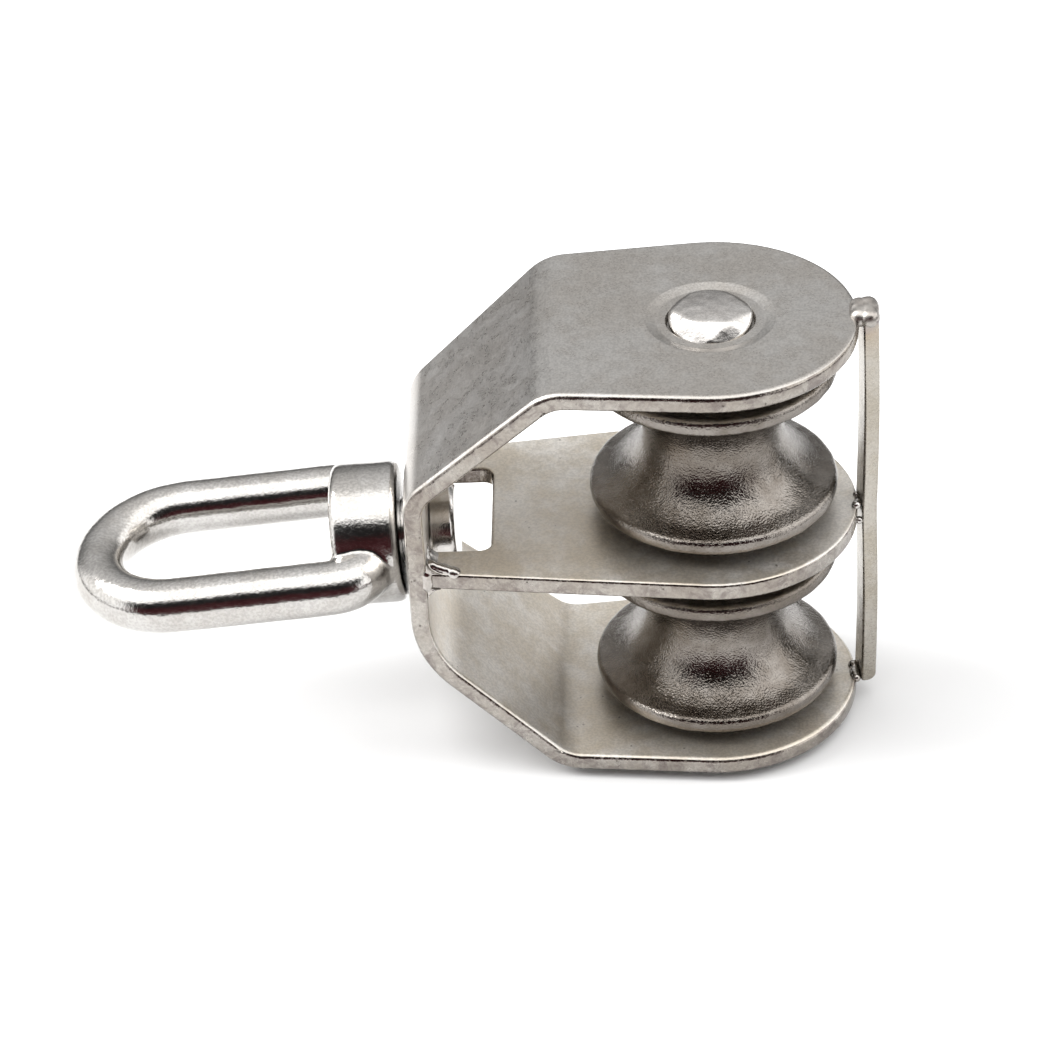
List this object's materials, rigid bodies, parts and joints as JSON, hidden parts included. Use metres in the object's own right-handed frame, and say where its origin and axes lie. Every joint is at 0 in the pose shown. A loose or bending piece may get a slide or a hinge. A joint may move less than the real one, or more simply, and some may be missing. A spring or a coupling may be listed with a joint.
{
  "type": "double sheave swivel block",
  "caption": "Rigging block with two rope sheaves on one riveted axle in a bent strip frame, a centre plate between them, a tie bar and a swivel eye.",
  "frame": {"origin": "on the axle's axis, in the middle of the centre plate", "axes": "+Z along the axle towards the upper cheek, +X from the eye towards the tie bar, +Y across the block, away from its nearer edge"},
  "size_m": [0.106, 0.0372, 0.0615],
  "materials": {
    "strip_steel": "tumbled satin stainless steel strip with faint scratches",
    "bar_steel": "dull satin stainless steel with heat tint beside the welds",
    "rivet_steel": "tumbled, hammered stainless steel",
    "cast_sheave": "grainy as-cast stainless steel, polished on the rims",
    "bush_bronze": "plain machined bearing bronze",
    "washer_steel": "plain stamped stainless steel",
    "cast_eye": "bright tumbled investment casting with a light orange peel",
    "weld_metal": "bright as-laid weld beads"
  },
  "bodies": {
    "frame": {"strap": "strip_steel", "centre_plate": "strip_steel", "tie_bar": "bar_steel", "axle": "rivet_steel", "upper_outer_washer": "washer_steel", "upper_inner_washer": "washer_steel", "lower_inner_washer": "washer_steel", "lower_outer_washer": "washer_steel", "swivel_washer": "washer_steel", "plate_weld_near": "weld_metal", "plate_weld_far": "weld_metal", "bar_weld_top": "weld_metal", "bar_weld_middle": "weld_metal", "bar_weld_bottom": "weld_metal"},
    "upper_wheel": {"upper_sheave": "cast_sheave", "upper_bush": "bush_bronze"},
    "lower_wheel": {"lower_sheave": "cast_sheave", "lower_bush": "bush_bronze"},
    "pin": {"swivel_pin": "rivet_steel"},
    "eye": {"swivel_eye": "cast_eye"}
  },
  "joints": [
    {"name": "upper_sheave_spin", "type": "hinge", "parent": "frame", "child": "upper_wheel", "pos_m": [0, 0, 0.0139], "axis": [0, 0, 1], "continuous": true},
    {"name": "lower_sheave_spin", "type": "hinge", "parent": "frame", "child": "lower_wheel", "pos_m": [0, 0, -0.0147], "axis": [0, 0, 1], "continuous": true},
    {"name": "eye_rock", "type": "hinge", "parent": "frame", "child": "pin", "pos_m": [-0.03825, 0, -0.0017], "axis": [0, 1, 0], "range_deg": [0, 6]},
    {"name": "swivel_turn", "type": "hinge", "parent": "pin", "child": "eye", "pos_m": [-0.03825, 0, -0.0017], "axis": [0.9986, 0, 0.0523], "continuous": true}
  ]
}
